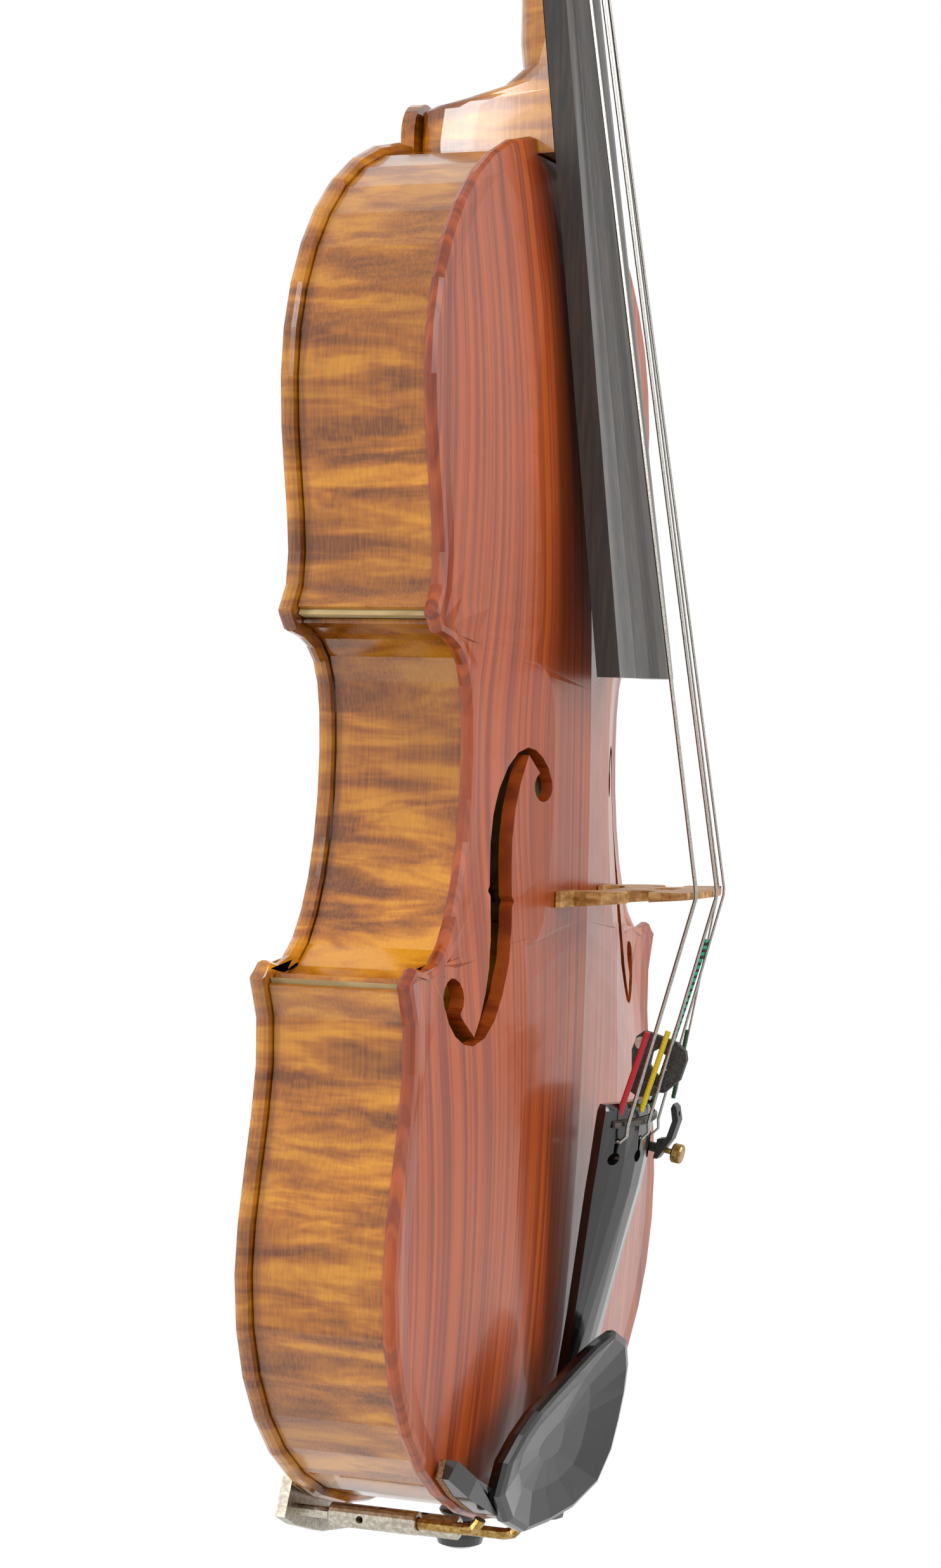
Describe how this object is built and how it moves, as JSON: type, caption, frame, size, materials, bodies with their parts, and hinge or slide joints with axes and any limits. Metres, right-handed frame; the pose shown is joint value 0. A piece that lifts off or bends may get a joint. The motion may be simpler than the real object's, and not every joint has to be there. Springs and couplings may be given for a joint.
{
  "type": "viola",
  "caption": "Arched-plate bowed string instrument with sound holes, neck and scroll, pegs, bridge, tailpiece, chinrest on a clamp, string adjuster and rubber mute.",
  "frame": {"origin": "point of the neck just under the nut, where a hanger's yoke holds the instrument", "axes": "+Z from the endpin to the scroll, -Y out of the belly, -X the bass side"},
  "size_m": [0.231, 0.1195, 0.6878],
  "materials": {
    "varnished_spruce": "glossy orange-brown oil varnish over spruce",
    "varnished_maple": "glossy amber varnish over flamed maple",
    "bare_spruce": "bare planed spruce",
    "polished_ebony": "polished ebony",
    "box_wood_fret": "polished dark wood",
    "bridge_maple": "bare waxed maple",
    "wound_steel": "fine metal winding",
    "nylon_gut": "black nylon",
    "cork_sheet": "cork sheet",
    "nickel_plate": "worn nickel plate",
    "worn_brass": "worn brass",
    "black_rubber": "matte rubber",
    "black_enamel": "satin black enamel"
  },
  "bodies": {
    "viola": {"top_plate": "varnished_spruce", "back_plate": "varnished_maple", "rib_upper_bass": "varnished_maple", "rib_upper_treble": "varnished_maple", "rib_middle_bass": "varnished_maple", "rib_middle_treble": "varnished_maple", "rib_lower_bass": "varnished_maple", "rib_lower_treble": "varnished_maple", "corner_block_upper_bass": "bare_spruce", "corner_block_upper_treble": "bare_spruce", "corner_block_lower_bass": "bare_spruce", "corner_block_lower_treble": "bare_spruce", "block_upper": "bare_spruce", "block_lower": "bare_spruce", "lining_back_upper_bass": "bare_spruce", "lining_back_upper_treble": "bare_spruce", "lining_top_upper_bass": "bare_spruce", "lining_top_upper_treble": "bare_spruce", "lining_back_middle_bass": "bare_spruce", "lining_back_middle_treble": "bare_spruce", "lining_top_middle_bass": "bare_spruce", "lining_top_middle_treble": "bare_spruce", "lining_back_lower_bass": "bare_spruce", "lining_back_lower_treble": "bare_spruce", "lining_top_lower_bass": "bare_spruce", "lining_top_lower_treble": "bare_spruce", "bass_bar": "bare_spruce", "sound_post": "bare_spruce", "neck_and_scroll": "varnished_maple", "fingerboard": "polished_ebony", "nut": "polished_ebony", "bridge": "bridge_maple", "tailpiece": "polished_ebony", "tailpiece_fret": "box_wood_fret", "string_c": "wound_steel", "string_g": "wound_steel", "string_d": "wound_steel", "string_a": "wound_steel", "saddle": "polished_ebony", "tailgut": "nylon_gut", "endpin": "polished_ebony", "chinrest": "polished_ebony", "chinrest_cork": "cork_sheet", "clamp_hook_1": "worn_brass", "clamp_hook_2": "worn_brass", "clamp_foot": "nickel_plate", "clamp_cork": "cork_sheet", "tuner_bracket": "black_enamel", "tuner_nut": "nickel_plate"},
    "peg_c": {"peg_c": "polished_ebony"},
    "peg_a": {"peg_a": "polished_ebony"},
    "peg_g": {"peg_g": "polished_ebony"},
    "peg_d": {"peg_d": "polished_ebony"},
    "tuner_screw": {"tuner_screw": "worn_brass"},
    "clamp_barrel_1": {"clamp_barrel_1": "nickel_plate"},
    "clamp_barrel_2": {"clamp_barrel_2": "nickel_plate"},
    "mute": {"mute": "black_rubber", "mute_rivet": "nickel_plate"}
  },
  "joints": [
    {"name": "peg_c_turn", "type": "hinge", "parent": "viola", "child": "peg_c", "pos_m": [0, 0.0027, 0.0316], "axis": [1, 0, 0], "continuous": true},
    {"name": "peg_a_turn", "type": "hinge", "parent": "viola", "child": "peg_a", "pos_m": [0, 0.0059, 0.0438], "axis": [1, 0, 0], "continuous": true},
    {"name": "peg_g_turn", "type": "hinge", "parent": "viola", "child": "peg_g", "pos_m": [0, 0.0091, 0.056], "axis": [1, 0, 0], "continuous": true},
    {"name": "peg_d_turn", "type": "hinge", "parent": "viola", "child": "peg_d", "pos_m": [0, 0.0123, 0.0682], "axis": [1, 0, 0], "continuous": true},
    {"name": "tuner_screw_turn", "type": "hinge", "parent": "viola", "child": "tuner_screw", "pos_m": [0.015, -0.05394, -0.4324], "axis": [0, -0.9816, -0.1908], "range_deg": [-720, 720]},
    {"name": "clamp_barrel_1_turn", "type": "hinge", "parent": "viola", "child": "clamp_barrel_1", "pos_m": [-0.062, 0.0157, -0.53253], "axis": [0, -1, 0], "range_deg": [-720, 720]},
    {"name": "clamp_barrel_2_turn", "type": "hinge", "parent": "viola", "child": "clamp_barrel_2", "pos_m": [-0.029, 0.0157, -0.54188], "axis": [0, -1, 0], "range_deg": [-720, 720]},
    {"name": "mute_slide", "type": "slide", "parent": "viola", "child": "mute", "axis": [0, -0.28, 0.96], "range_m": [0, 0.03]}
  ]
}
